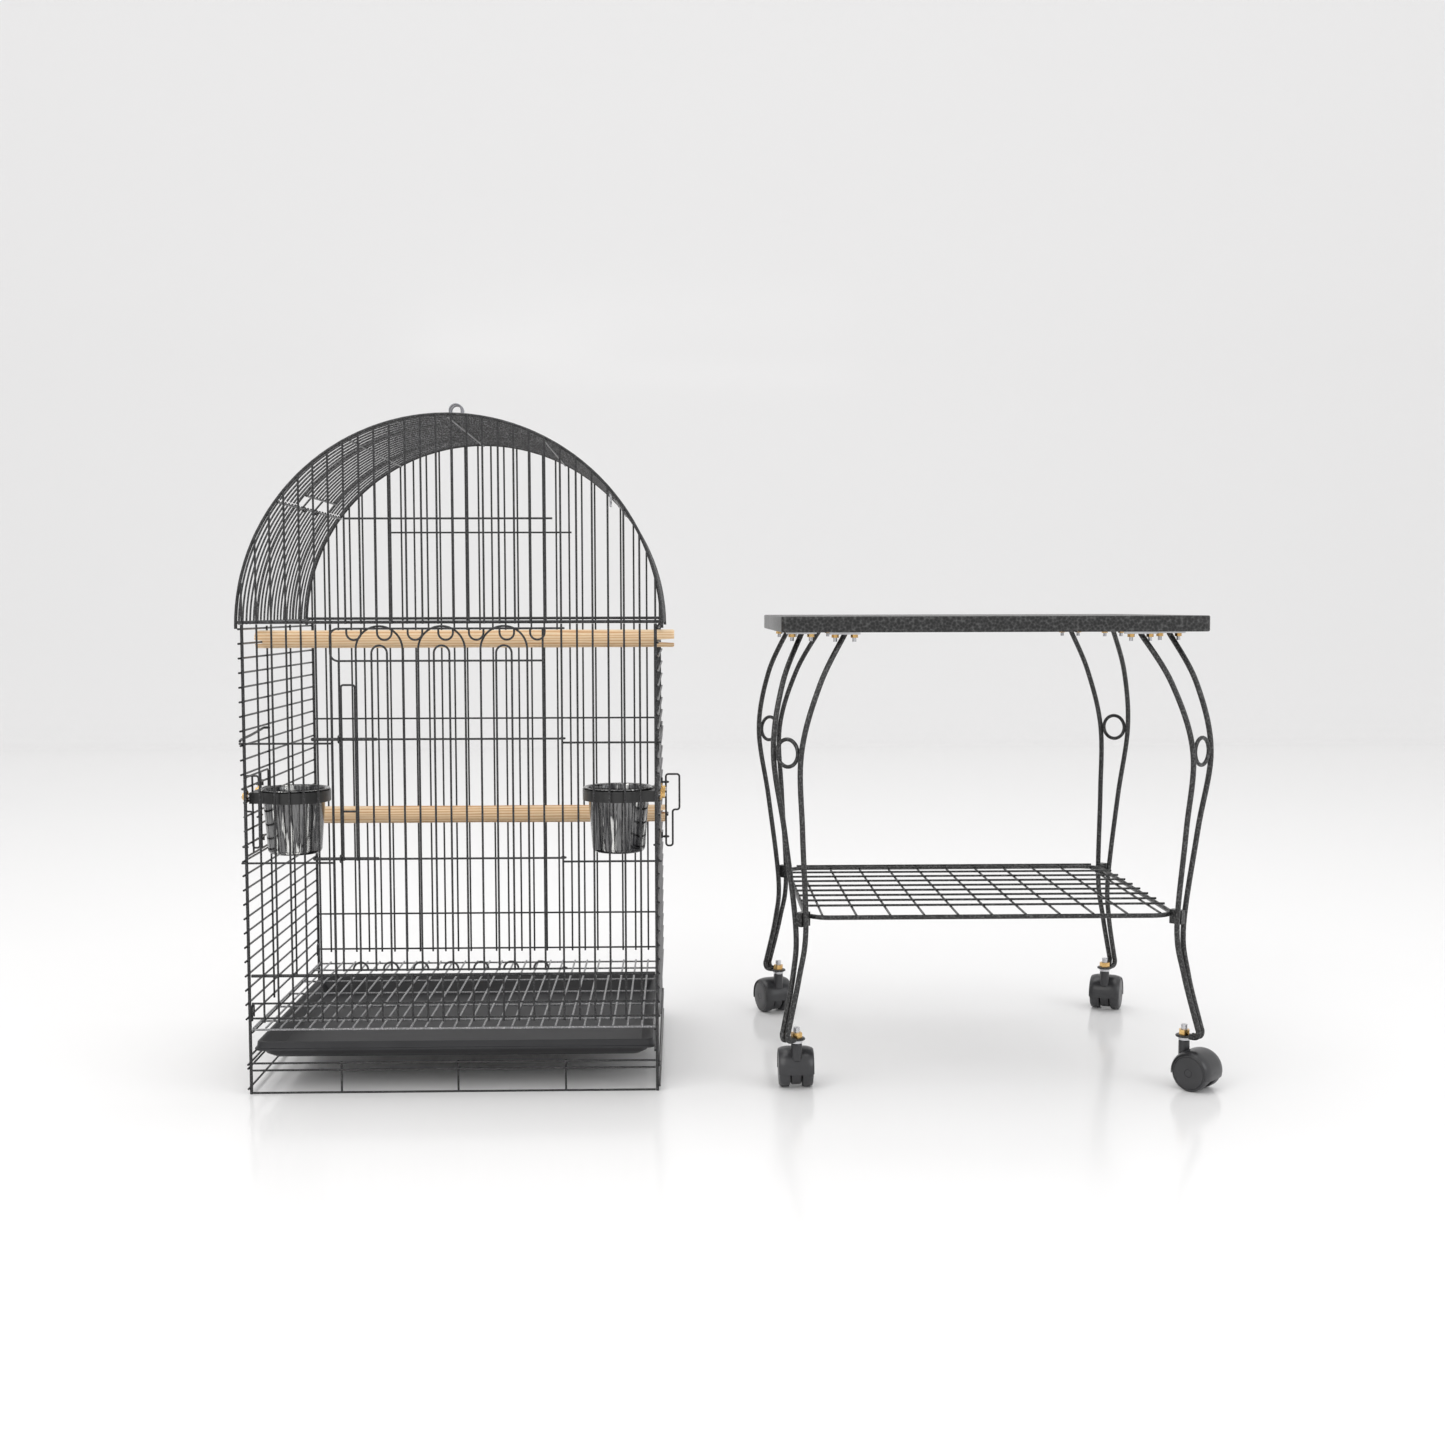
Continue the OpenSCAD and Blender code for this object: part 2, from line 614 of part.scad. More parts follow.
module leg_tabs() { color("lightgray") for (c = corners) at_tabs(c)
  translate([0, 0, board_top - board_t - tab_t]) difference() {
    translate([-19, -8, 0]) cube([38, 16, tab_t]);
    for (x = [-12, 12]) translate([x, 0, -1]) cylinder(d = 5.1, h = 6);
  } }

module leg_bolts() { color("silver") for (c = corners) at_tabs(c) for (x = [-12, 12])
  translate([x, 0, board_top - board_t - 12]) cylinder(d = 5, h = 24); }

module leg_nuts() { color("gold") for (c = corners) at_tabs(c) for (x = [-12, 12])
  translate([x, 0, board_top - board_t - tab_t - 4]) difference() {
    cylinder(d = 9.2, h = 4, $fn = 6);
    translate([0, 0, -1]) cylinder(d = 5.08, h = 6);
  } }

module foot_plates() { color("dimgray") for (c = corners) at_corner(c) translate([0, 0, plate_z]) difference() {
  union() {
    cylinder(d = 22, h = 3);
    translate([0, -9, 0]) cube([34, 18, 3]);
  }
  translate([0, 0, -1]) cylinder(d = 8.2, h = 5);
} }

module foot_nuts() { color("gold") for (c = corners) at_corner(c) translate([0, 0, plate_z + 3]) difference() {
  cylinder(d = 14.6, h = 6.5, $fn = 6);
  translate([0, 0, -1]) cylinder(d = 8.1, h = 9);
} }

module shelf() { color("dimgray") at_stand() {
  w = 470;
  d = 404;
  r = 30;
  lengthwise_pitch = 43;
  for (s = [-1, 1]) {
    bar_x(-w / 2 + r, w / 2 - r, s * d / 2, shelf_z, 6);
    bar_y(s * w / 2, -d / 2 + r, d / 2 - r, shelf_z, 6);
  }
  for (c = [[-1, -1, 180], [1, -1, 270], [-1, 1, 90], [1, 1, 0]])
    arc_xy(c[0] * (w / 2 - r), c[1] * (d / 2 - r), shelf_z, r, c[2], c[2] + 90, 6);
  z1 = shelf_z + 3;
  // The two outermost lengths end a little short, where the frame curves in
  for (k = [-5:5]) let (half = d / 2 + (abs(k) == 5 ? -1 : 1)) bar_y(k * lengthwise_pitch, -half, half, z1, 3);
  for (k = [0:8]) bar_x(-w / 2 - 1, w / 2 + 1, -d / 2 + 56 + 39 * k, z1 + 2.5, 3);
  bar_x(-w / 2 + 14, w / 2 - 14, d / 2 - 14, z1 + 2.5, 3);
} }

// ---- casters: drawn at the origin with the stem on the axis and the axle behind it on -X ----

axle_z = wheel_d / 2;
web = 7;
// Direction that each caster trails in, front left, front right, back left, back right
caster_turn = [-90, 135, -68, -113];

module at_caster(i) {
  c = corners[i];
  at_stand() translate([c[0] * stem_w / 2, c[1] * stem_d / 2, 0]) rotate([0, 0, caster_turn[i]]) children();
}

module caster_stems() { color("silver") for (i = [0:3]) at_caster(i) {
  translate([0, 0, 36]) cylinder(d = 8, h = 44);
  translate([0, 0, 60.4]) cylinder(d = 15, h = plate_z - 60.4);
} }

module caster_hood(i) { color([0.05, 0.05, 0.05]) at_caster(i) difference() {
  union() {
    translate([-caster_trail, web, axle_z]) rotate([90, 0, 0]) cylinder(d = 44, h = 2 * web);
    translate([0, 0, 34]) cylinder(d = 2 * web, h = 26);
    translate([-caster_trail, 22.5, axle_z]) rotate([90, 0, 0]) difference() {
      cylinder(r = wheel_d / 2 + 3.2, h = 45);
      translate([0, 0, -1]) cylinder(r = wheel_d / 2 + 0.8, h = 47);
      rotate([0, 0, -152]) translate([-60, 0, -1]) cube([120, 60, 47]);
      rotate([0, 0, -205]) translate([-60, 0, -1]) cube([120, 60, 47]);
    }
    translate([-caster_trail, web, axle_z]) rotate([90, 0, 0]) intersection() {
      cylinder(r = wheel_d / 2 + 2, h = 2 * web);
      translate([-20, 12, 0]) cube([44, 30, 2 * web]);
    }
  }
  translate([0, 0, 35]) cylinder(d = 8.1, h = 30);
  translate([-caster_trail, 30, axle_z]) rotate([90, 0, 0]) cylinder(d = 6.1, h = 60);
} }

module caster_axle(i) { color("silver") at_caster(i)
  translate([-caster_trail, 21, axle_z]) rotate([90, 0, 0]) cylinder(d = 6, h = 42); }

module caster_wheels(i) { color([0.08, 0.08, 0.08]) at_caster(i) translate([-caster_trail, 0, axle_z])
  for (s = [0, 180]) rotate([0, 0, s]) rotate([90, 0, 0]) rotate_extrude() polygon([[3.05, 7.6], [21, 7.6], [23, 8.2],
    [24, 9.6], [24, 19.4], [23, 21], [21, 21.8], [17, 22.2], [14, 20.4], [6, 20.4], [5, 21.4], [3.05, 21.4]]); }

stand_top();
leg_rods(corners[0]);  // leg_rods_front_left
leg_rods(corners[1]);  // leg_rods_front_right
leg_rods(corners[2]);  // leg_rods_back_left
leg_rods(corners[3]);  // leg_rods_back_right
leg_rings();
leg_spacers();
leg_tabs();
leg_bolts();
leg_nuts();
foot_plates();
foot_nuts();
shelf();
caster_stems();
caster_hood(0);  // caster_hood_front_left
caster_hood(1);  // caster_hood_front_right
caster_hood(2);  // caster_hood_back_left
caster_hood(3);  // caster_hood_back_right
caster_axle(0);  // caster_axle_front_left
caster_axle(1);  // caster_axle_front_right
caster_axle(2);  // caster_axle_back_left
caster_axle(3);  // caster_axle_back_right
caster_wheels(0);  // caster_wheels_front_left
caster_wheels(1);  // caster_wheels_front_right
caster_wheels(2);  // caster_wheels_back_left
caster_wheels(3);  // caster_wheels_back_right
front_panel();
back_panel();
side_panel(-1);  // left_panel
side_panel(1);  // right_panel
roof_left();
roof_right();
roof_front();
roof_back();
front_rail();
back_rail();
floor_grate();
tray();
perch_upper();
perch_lower();
main_door();
door_latch();
feeder_door(-1);  // feeder_door_left
feeder_door(1);  // feeder_door_right
feeder_latch(-1);  // feeder_latch_left
feeder_latch(1);  // feeder_latch_right
cup_holder(-1);  // cup_holder_left
cup_holder(1);  // cup_holder_right
holder_bolts(-1);  // holder_bolts_left
holder_bolts(1);  // holder_bolts_right
holder_nuts(-1);  // holder_nuts_left
holder_nuts(1);  // holder_nuts_right
cup(-1);  // cup_left
cup(1);  // cup_right
roof_hatch();
hatch_catch();
hatch_handle();
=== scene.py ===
"""The looks of the bird cage and its rolling stand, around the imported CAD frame."""

import json
import math

import bmesh
import bpy
from mathutils import Matrix, Vector


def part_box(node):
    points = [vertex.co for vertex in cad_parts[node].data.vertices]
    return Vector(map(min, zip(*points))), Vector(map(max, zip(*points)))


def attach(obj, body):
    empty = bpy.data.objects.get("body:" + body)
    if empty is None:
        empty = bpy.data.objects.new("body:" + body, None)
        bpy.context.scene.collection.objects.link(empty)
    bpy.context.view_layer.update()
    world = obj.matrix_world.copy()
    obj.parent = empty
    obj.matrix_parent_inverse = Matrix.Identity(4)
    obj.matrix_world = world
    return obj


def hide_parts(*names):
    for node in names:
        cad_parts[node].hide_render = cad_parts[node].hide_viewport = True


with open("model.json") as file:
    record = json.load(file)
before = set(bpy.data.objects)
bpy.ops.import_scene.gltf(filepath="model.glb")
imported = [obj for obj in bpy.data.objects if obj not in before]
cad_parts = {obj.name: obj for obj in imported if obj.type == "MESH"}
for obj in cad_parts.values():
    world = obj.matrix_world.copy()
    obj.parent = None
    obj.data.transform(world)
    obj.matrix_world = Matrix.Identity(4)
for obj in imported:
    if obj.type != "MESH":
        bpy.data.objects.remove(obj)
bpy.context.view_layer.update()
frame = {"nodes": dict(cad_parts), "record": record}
nodes = frame["nodes"]
scene = bpy.context.scene
MM = 0.001
CORNERS = {"front_left": (-1, -1), "front_right": (1, -1), "back_left": (-1, 1), "back_right": (1, 1)}


# ---- places, worked out from the frame ----

stems_low, stems_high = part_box("caster_stems")
STEM_COLLAR = 7.5 * MM
STAND = (stems_low + stems_high) / 2
STEM_X = (stems_high.x - stems_low.x) / 2 - STEM_COLLAR
STEM_Y = (stems_high.y - stems_low.y) / 2 - STEM_COLLAR
rail_low, rail_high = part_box("front_rail")
CAGE_X = (rail_low.x + rail_high.x) / 2
WIRE = 1.3 * MM
FRONT_Y = rail_low.y + WIRE


def stem_at(corner):
    """The point on the floor under a caster's stem."""
    sx, sy = CORNERS[corner]
    return Vector((STAND.x + sx * STEM_X, STAND.y + sy * STEM_Y, 0))


def in_cage(x, y, z):
    """A point given in millimetres from the middle of the cage's front, at floor level."""
    return Vector((CAGE_X + x * MM, FRONT_Y + y * MM, z * MM))


# ---- camera, floor and light ----

LENS_MM = 41.95
# Degrees
YAW, TILT_DOWN, ROLL = -1.38, 3.93, -0.128
# Metres from the middle of the cage's front, at floor level
EYE_RIGHT, EYE_BACK, EYE_HEIGHT = 0.2888, 2.1018, 0.612


def add_camera():
    """The photograph's lens and viewing angle."""
    data = bpy.data.cameras.new("camera")
    data.sensor_width = 36
    data.lens = LENS_MM
    data.clip_end = 60
    obj = bpy.data.objects.new("camera", data)
    scene.collection.objects.link(obj)
    turn = (
        Matrix.Rotation(math.radians(YAW), 4, "Z")
        @ Matrix.Rotation(math.radians(90 - TILT_DOWN), 4, "X")
        @ Matrix.Rotation(math.radians(ROLL), 4, "Z")
    )
    place = Vector((CAGE_X + EYE_RIGHT, FRONT_Y - EYE_BACK, EYE_HEIGHT))
    obj.matrix_world = Matrix.Translation(place) @ turn
    scene.camera = obj


def add_area(name, place, target, size, power, colour=(1, 1, 1)):
    """A square soft light that faces its target."""
    data = bpy.data.lights.new(name, "AREA")
    data.shape = "SQUARE"
    data.size = size
    data.energy = power
    data.color = colour
    obj = bpy.data.objects.new(name, data)
    scene.collection.objects.link(obj)
    aim = Vector(target) - Vector(place)
    obj.matrix_world = Matrix.Translation(place) @ aim.to_track_quat("-Z", "Y").to_matrix().to_4x4()


def add_stage():
    """Pale floor that curves up into a pale wall, and a soft studio."""
    bm = bmesh.new()
    half, front, back, bend, top, steps = 14.0, -9.0, 5.0, 2.0, 9.0, 20
    profile = [(front, 0.0)]
    for i in range(steps + 1):
        a = math.pi / 2 * i / steps
        profile.append((back + bend * math.sin(a), bend - bend * math.cos(a)))
    profile.append((back + bend, top))
    rows = [[bm.verts.new((x, y, z)) for y, z in profile] for x in (-half, half)]
    for i in range(len(profile) - 1):
        bm.faces.new((rows[0][i], rows[1][i], rows[1][i + 1], rows[0][i + 1]))
    data = bpy.data.meshes.new("floor")
    bm.to_mesh(data)
    bm.free()
    data.shade_smooth()
    floor = bpy.data.objects.new("floor", data)
    scene.collection.objects.link(floor)
    mat = bpy.data.materials.new("floor_paper")
    mat.use_nodes = True
    bsdf = mat.node_tree.nodes["Principled BSDF"]
    bsdf.inputs["Base Color"].default_value = (0.93, 0.925, 0.925, 1)
    bsdf.inputs["Roughness"].default_value = 0.16
    bsdf.inputs["Specular IOR Level"].default_value = 0.35
    data.materials.append(mat)
    world = bpy.data.worlds.new("studio")
    scene.world = world
    world.use_nodes = True
    world.node_tree.nodes["Background"].inputs["Color"].default_value = (1, 1, 1, 1)
    world.node_tree.nodes["Background"].inputs["Strength"].default_value = 0.88
    scene.view_settings.view_transform = "Standard"
    add_area("key", (-2.2, -2.6, 3.0), (0, 0, 0.4), 2.4, 34, (1, 0.985, 0.96))
    add_area("fill", (2.8, -2.2, 2.0), (0.2, 0, 0.4), 2.0, 22, (0.96, 0.98, 1))
    add_area("top", (0, 0.4, 3.6), (0, 0, 0), 3.0, 36)


# ---- materials ----

def new_material(name):
    """A material, its node tree and its Principled shader."""
    mat = bpy.data.materials.new(name)
    mat.use_nodes = True
    return mat, mat.node_tree, mat.node_tree.nodes["Principled BSDF"]


def add_node(tree, kind, **values):
    """A shader node with some of its inputs set by name."""
    node = tree.nodes.new(kind)
    for key, value in values.items():
        node.inputs[key.replace("_", " ")].default_value = value
    return node


def coordinates(tree, stretch=(1, 1, 1)):
    """Object coordinates, stretched along each axis."""
    where = tree.nodes.new("ShaderNodeTexCoord")
    mapping = tree.nodes.new("ShaderNodeMapping")
    mapping.inputs["Scale"].default_value = stretch
    tree.links.new(where.outputs["Object"], mapping.inputs["Vector"])
    return mapping.outputs["Vector"]


def ramp(tree, value, stops):
    """A colour ramp fed by a value; stops are (position, colour) pairs."""
    node = tree.nodes.new("ShaderNodeValToRGB")
    tree.links.new(value, node.inputs["Fac"])
    elements = node.color_ramp.elements
    while len(elements) < len(stops):
        elements.new(0.5)
    for element, (position, colour) in zip(elements, stops):
        element.position = position
        element.color = (*colour, 1)
    return node.outputs["Color"]


def scaled(tree, value, low, high):
    """A 0 to 1 value taken to the range low to high."""
    node = tree.nodes.new("ShaderNodeMapRange")
    node.inputs["To Min"].default_value = low
    node.inputs["To Max"].default_value = high
    tree.links.new(value, node.inputs["Value"])
    return node.outputs["Result"]


def bump(tree, bsdf, height, strength, distance):
    """Bump from a height, on the shader's normal."""
    node = add_node(tree, "ShaderNodeBump", Strength=strength, Distance=distance)
    tree.links.new(height, node.inputs["Height"])
    tree.links.new(node.outputs["Normal"], bsdf.inputs["Normal"])


def hammertone(name, dark, light, cell, depth):
    """Powder coat with a vein of pale metallic flecks between small dimples."""
    mat, tree, bsdf = new_material(name)
    where = coordinates(tree)
    cells = add_node(tree, "ShaderNodeTexVoronoi", Scale=1 / cell)
    cells.feature = "F1"
    tree.links.new(where, cells.inputs["Vector"])
    fine = add_node(tree, "ShaderNodeTexNoise", Scale=2.2 / cell, Detail=3, Roughness=0.6)
    tree.links.new(where, fine.inputs["Vector"])
    broad = add_node(tree, "ShaderNodeTexNoise", Scale=9, Detail=2)
    tree.links.new(where, broad.inputs["Vector"])
    mix = tree.nodes.new("ShaderNodeMath")
    mix.operation = "MULTIPLY"
    tree.links.new(cells.outputs["Distance"], mix.inputs[0])
    tree.links.new(scaled(tree, fine.outputs["Fac"], 0.5, 1.5), mix.inputs[1])
    middle_tone = tuple((a * 2 + b) / 3 for a, b in zip(dark, light))
    colour = ramp(tree, mix.outputs["Value"], [(0.30, dark), (0.62, middle_tone), (0.86, light)])
    tree.links.new(colour, bsdf.inputs["Base Color"])
    tree.links.new(scaled(tree, broad.outputs["Fac"], 0.34, 0.52), bsdf.inputs["Roughness"])
    bsdf.inputs["Metallic"].default_value = 0.25
    bsdf.inputs["Coat Weight"].default_value = 0.25
    bsdf.inputs["Coat Roughness"].default_value = 0.22
    bump(tree, bsdf, cells.outputs["Distance"], 0.55, depth)
    return mat


def plastic(name, colour, rough, grain, depth, coat=0.0):
    """Moulded plastic with fine grain, faint flow marks and uneven gloss."""
    mat, tree, bsdf = new_material(name)
    where = coordinates(tree)
    noise = add_node(tree, "ShaderNodeTexNoise", Scale=1 / grain, Detail=4, Roughness=0.65)
    tree.links.new(where, noise.inputs["Vector"])
    broad = add_node(tree, "ShaderNodeTexNoise", Scale=14, Detail=3)
    tree.links.new(where, broad.inputs["Vector"])
    paler = tuple(c * 1.5 + 0.006 for c in colour)
    marks = ramp(tree, broad.outputs["Fac"], [(0.3, colour), (0.75, paler)])
    tree.links.new(marks, bsdf.inputs["Base Color"])
    tree.links.new(scaled(tree, broad.outputs["Fac"], rough - 0.06, rough + 0.1), bsdf.inputs["Roughness"])
    bsdf.inputs["Coat Weight"].default_value = coat
    bump(tree, bsdf, noise.outputs["Fac"], 0.4, depth)
    return mat


def metal(name, colour, rough, stretch, scratch=0.25, tint=None):
    """Bare metal with drawn or spun lines, closest along the most stretched axis, and slight stains."""
    mat, tree, bsdf = new_material(name)
    lines = add_node(tree, "ShaderNodeTexNoise", Scale=60, Detail=6, Roughness=0.7)
    tree.links.new(coordinates(tree, stretch), lines.inputs["Vector"])
    stain = add_node(tree, "ShaderNodeTexNoise", Scale=45, Detail=4)
    tree.links.new(coordinates(tree), stain.inputs["Vector"])
    other = tint or tuple(c * 0.8 for c in colour)
    stained = ramp(tree, stain.outputs["Fac"], [(0.35, other), (0.65, colour)])
    tree.links.new(stained, bsdf.inputs["Base Color"])
    tree.links.new(scaled(tree, lines.outputs["Fac"], rough * 0.7, rough * 1.35), bsdf.inputs["Roughness"])
    bsdf.inputs["Metallic"].default_value = 1.0
    bump(tree, bsdf, lines.outputs["Fac"], scratch, 0.00006)
    return mat


def steel_with_painted_reflection():
    """Polished spun steel whose colour holds painted reflection: dark and bright streaks that run up and
    down its walls, standing in for the mirrored room.
    """
    mat, tree, bsdf = new_material("cup_steel")
    painted_reflection_streaks = add_node(tree, "ShaderNodeTexNoise", Scale=105, Detail=5, Roughness=0.62)
    tree.links.new(coordinates(tree, (1, 1, 0.05)), painted_reflection_streaks.inputs["Vector"])
    turned = add_node(tree, "ShaderNodeTexNoise", Scale=60, Detail=5, Roughness=0.7)
    tree.links.new(coordinates(tree, (1, 1, 30)), turned.inputs["Vector"])
    # Painted reflection: dark streaks for the dark room and bright streaks of painted highlight, as the
    # walls would mirror them
    dark, grey, bright = (0.045, 0.045, 0.048), (0.20, 0.20, 0.20), (0.78, 0.78, 0.76)
    stops = [(0.38, dark), (0.50, grey), (0.57, dark), (0.64, bright), (0.72, grey)]
    tree.links.new(ramp(tree, painted_reflection_streaks.outputs["Fac"], stops), bsdf.inputs["Base Color"])
    tree.links.new(scaled(tree, turned.outputs["Fac"], 0.09, 0.2), bsdf.inputs["Roughness"])
    bsdf.inputs["Metallic"].default_value = 1.0
    bump(tree, bsdf, turned.outputs["Fac"], 0.12, 0.00005)
    return mat


def pine():
    """Sanded pine: growth rings cut along the grain, fine fibres, small dark flecks."""
    mat, tree, bsdf = new_material("pine")
    where = coordinates(tree, (1.2, 26, 26))
    warp = add_node(tree, "ShaderNodeTexNoise", Scale=1.4, Detail=3, Roughness=0.55)
    tree.links.new(where, warp.inputs["Vector"])
    rings = tree.nodes.new("ShaderNodeTexWave")
    rings.wave_type = "RINGS"
    rings.rings_direction = "X"
    rings.inputs["Scale"].default_value = 3.4
    rings.inputs["Distortion"].default_value = 5.5
    rings.inputs["Detail"].default_value = 3
    tree.links.new(where, rings.inputs["Vector"])
    fibres = add_node(tree, "ShaderNodeTexNoise", Scale=9, Detail=6, Roughness=0.7)
    tree.links.new(coordinates(tree, (4, 140, 140)), fibres.inputs["Vector"])
    blend = tree.nodes.new("ShaderNodeMix")
    blend.data_type = "FLOAT"
    blend.inputs["Factor"].default_value = 0.45
    tree.links.new(rings.outputs["Fac"], blend.inputs[2])
    tree.links.new(warp.outputs["Fac"], blend.inputs[3])
    early, middle_wood, late = (0.86, 0.66, 0.43), (0.78, 0.53, 0.31), (0.60, 0.34, 0.17)
    stops = [(0.18, late), (0.34, middle_wood), (0.62, early), (0.95, (0.84, 0.66, 0.45))]
    base = ramp(tree, blend.outputs[0], stops)
    shade = tree.nodes.new("ShaderNodeMix")
    shade.data_type = "RGBA"
    shade.blend_type = "MULTIPLY"
    shade.inputs["Factor"].default_value = 0.35
    tree.links.new(base, shade.inputs[6])
    fleck, clear = (0.62, 0.5, 0.4), (1, 1, 1)
    tree.links.new(ramp(tree, fibres.outputs["Fac"], [(0.3, fleck), (0.6, clear)]), shade.inputs[7])
    tree.links.new(shade.outputs[2], bsdf.inputs["Base Color"])
    tree.links.new(scaled(tree, fibres.outputs["Fac"], 0.5, 0.7), bsdf.inputs["Roughness"])
    bsdf.inputs["Specular IOR Level"].default_value = 0.3
    bump(tree, bsdf, fibres.outputs["Fac"], 0.5, 0.0002)
    return mat


MATERIALS = {
    "cage_coat": hammertone("cage_coat", (0.005, 0.005, 0.0055), (0.065, 0.065, 0.068), 0.0016, 0.00012),
    # The floor grate's pale grey is painted highlight: the glint of light along its wires, painted into
    # the coat's colour
    "grate_coat": hammertone("grate_coat", (0.16, 0.16, 0.165), (0.46, 0.46, 0.47), 0.0016, 0.0001),
    "roof_coat": hammertone("roof_coat", (0.014, 0.014, 0.015), (0.15, 0.15, 0.155), 0.0016, 0.00012),
    "stand_coat": hammertone("stand_coat", (0.006, 0.006, 0.006), (0.09, 0.09, 0.09), 0.0024, 0.0002),
    "board": hammertone("board_coat", (0.005, 0.005, 0.005), (0.07, 0.07, 0.07), 0.0036, 0.0003),
    "tab_zinc": metal("tab_zinc", (0.72, 0.72, 0.74), 0.32, (1, 8, 8)),
    "bright_steel": metal("bright_steel", (0.62, 0.62, 0.64), 0.26, (1, 1, 14)),
    "caster_hood": plastic("caster_hood", (0.018, 0.018, 0.020), 0.32, 0.0012, 0.00003, 0.2),
    "caster_wheel": plastic("caster_wheel", (0.024, 0.024, 0.026), 0.38, 0.0010, 0.00004, 0.1),
    "brass": metal("brass", (0.86, 0.58, 0.24), 0.24, (1, 1, 6), 0.2, (0.62, 0.36, 0.12)),
    "chrome": metal("chrome", (0.30, 0.30, 0.32), 0.14, (1, 10, 1), 0.05),
    "tray_plastic": plastic("tray_plastic", (0.014, 0.014, 0.016), 0.46, 0.0011, 0.00012),
    "holder_plastic": plastic("holder_plastic", (0.010, 0.010, 0.010), 0.34, 0.0008, 0.00004, 0.15),
    "cup_steel": steel_with_painted_reflection(),
    "pine": pine(),
}


def dress_cad():
    """Every CAD node takes the material of its record slot."""
    for entry in frame["record"]["subparts"]:
        data = nodes[entry["node"]].data
        data.materials.clear()
        data.materials.append(MATERIALS[entry["material_slot"]])


# ---- shapes ----

CORNER_STEPS = 8


def finish_piece(name, bm, slot, body, smooth_angle, replaces=()):
    """Turns a bmesh into a shaded piece that rides on a body."""
    bmesh.ops.recalc_face_normals(bm, faces=bm.faces)
    data = bpy.data.meshes.new(name)
    bm.to_mesh(data)
    bm.free()
    data.materials.append(MATERIALS[slot])
    data.shade_smooth()
    data.set_sharp_from_angle(angle=math.radians(smooth_angle))
    obj = bpy.data.objects.new(name, data)
    scene.collection.objects.link(obj)
    if replaces:
        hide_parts(*replaces)
    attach(obj, body)
    return obj


def rounded_path(points, radius):
    """A polyline with each inner corner replaced by an arc of up to the given radius."""
    path = [points[0]]
    for before, here, after in zip(points, points[1:], points[2:]):
        to_a = (before - here).normalized()
        to_b = (after - here).normalized()
        half = to_a.angle(to_b) / 2
        cut = min(radius / math.tan(half), (before - here).length / 2, (after - here).length / 2)
        r = cut * math.tan(half)
        centre = here + (to_a + to_b).normalized() * (r / math.sin(half))
        start = here + to_a * cut - centre
        end = here + to_b * cut - centre
        for i in range(CORNER_STEPS + 1):
            path.append(centre + start.slerp(end, i / CORNER_STEPS, start).normalized() * r)
    path.append(points[-1])
    return path


def spline_path(points, steps=10):
    """A smooth curve through the points."""
    last = len(points) - 1
    path = []
    for i in range(last):
        p0, p1, p2, p3 = points[max(i - 1, 0)], points[i], points[i + 1], points[min(i + 2, last)]
        for s in range(steps):
            t = s / steps
            path.append(
                0.5 * (2 * p1 + (p2 - p0) * t + (2 * p0 - 5 * p1 + 4 * p2 - p3) * t * t
                       + (3 * p1 - p0 - 3 * p2 + p3) * t ** 3)
            )
    path.append(points[-1])
    return path


# A tube's domed ends, as parts of its radius
DOME_HEIGHT = 0.35
DOME_WIDTH = 0.72


def sweep_tube(bm, path, radius, sides=16):
    """Adds a round tube along a path, with domed ends."""
    rings = []
    normal = None
    for behind, point, ahead in zip([path[0]] + path, path, path[1:] + [path[-1]]):
        along = (ahead - behind).normalized()
        if normal is None:
            normal = along.orthogonal().normalized()
        normal = (normal - along * normal.dot(along)).normalized()
        side = along.cross(normal)
        ring = []
        for k in range(sides):
            a = 2 * math.pi * k / sides
            ring.append(bm.verts.new(point + (normal * math.cos(a) + side * math.sin(a)) * radius))
        rings.append((ring, point, along))
    for (a, _, _), (b, _, _) in zip(rings, rings[1:]):
        for k in range(sides):
            bm.faces.new((a[k], a[(k + 1) % sides], b[(k + 1) % sides], b[k]))
    for (ring, point, along), way in ((rings[0], -1), (rings[-1], 1)):
        dome = along * way * radius * DOME_HEIGHT
        inner = [bm.verts.new(point + (v.co - point) * DOME_WIDTH + dome) for v in ring]
        for k in range(sides):
            bm.faces.new((ring[k], ring[(k + 1) % sides], inner[(k + 1) % sides], inner[k]))
        bm.faces.new(inner)


def lathe(bm, profile, sides, place):
    """Adds a turned shape about +Z from (radius, height) points; a radius of 0 closes it on the axis."""
    rings = []
    for r, z in profile:
        if r < 1e-7:
            rings.append([bm.verts.new(place @ Vector((0, 0, z)))])
            continue
        ring = []
        for k in range(sides):
            a = 2 * math.pi * k / sides
            ring.append(bm.verts.new(place @ Vector((r * math.cos(a), r * math.sin(a), z))))
        rings.append(ring)
    for a, b in zip(rings, rings[1:]):
        for k in range(sides):
            quad = [a[k % len(a)], a[(k + 1) % len(a)], b[(k + 1) % len(b)], b[k % len(b)]]
            corners = list(dict.fromkeys(quad))
            if len(corners) > 2:
                bm.faces.new(corners)


def rounded_rect(width, depth, radius):
    """Points round a rectangle with round corners, about the origin."""
    points = []
    for i, (sx, sy) in enumerate(((1, 1), (-1, 1), (-1, -1), (1, -1))):
        for s in range(CORNER_STEPS + 1):
            a = math.pi / 2 * (i + s / CORNER_STEPS)
            points.append((sx * (width / 2 - radius) + radius * math.cos(a),
                           sy * (depth / 2 - radius) + radius * math.sin(a)))
    return points


